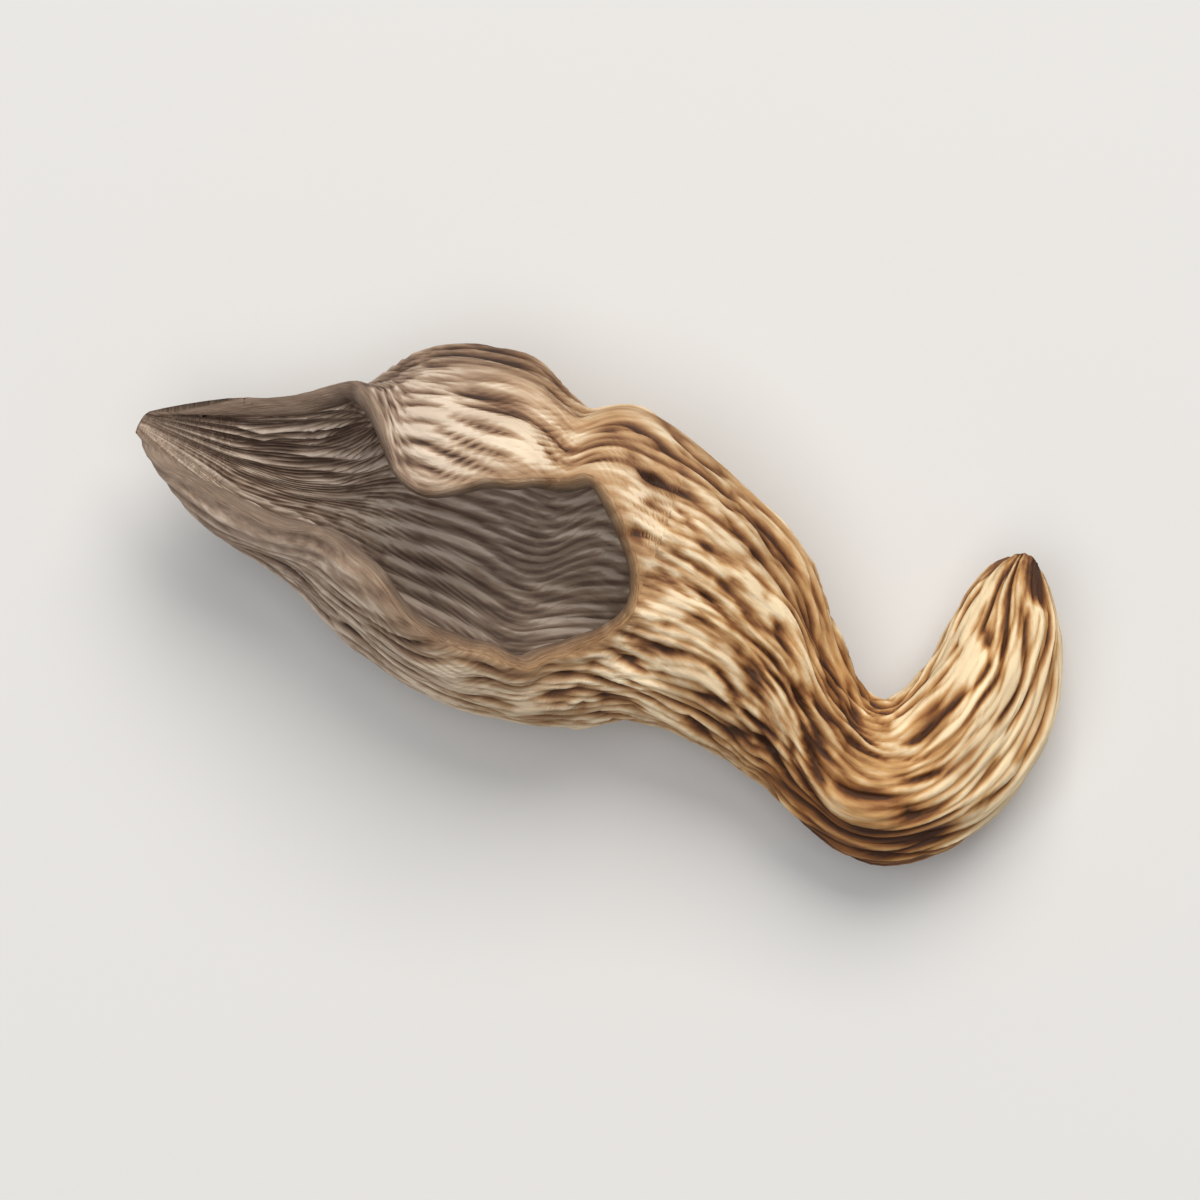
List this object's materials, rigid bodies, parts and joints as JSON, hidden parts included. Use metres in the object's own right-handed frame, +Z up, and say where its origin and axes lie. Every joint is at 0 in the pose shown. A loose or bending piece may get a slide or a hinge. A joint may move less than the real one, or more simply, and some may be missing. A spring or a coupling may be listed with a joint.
{
  "type": "black trumpet mushroom",
  "caption": "Dried black trumpet mushroom lying on its side: a thin wrinkled funnel with a long slanting mouth, narrowing to a ridged stem that hooks round to the foot.",
  "frame": {"origin": "under the middle of the bounding box, on the surface that the mushroom lies on", "axes": "+X along the mushroom, from the tip of the mouth's long lip towards the hooked stem; +Y across it, from the outside of the hook to its inside; +Z up"},
  "size_m": [0.03, 0.017, 0.0079],
  "materials": {
    "dried_flesh": "dry, matt and wrinkled"
  },
  "bodies": {
    "root": {"mushroom": "dried_flesh"}
  },
  "joints": []
}
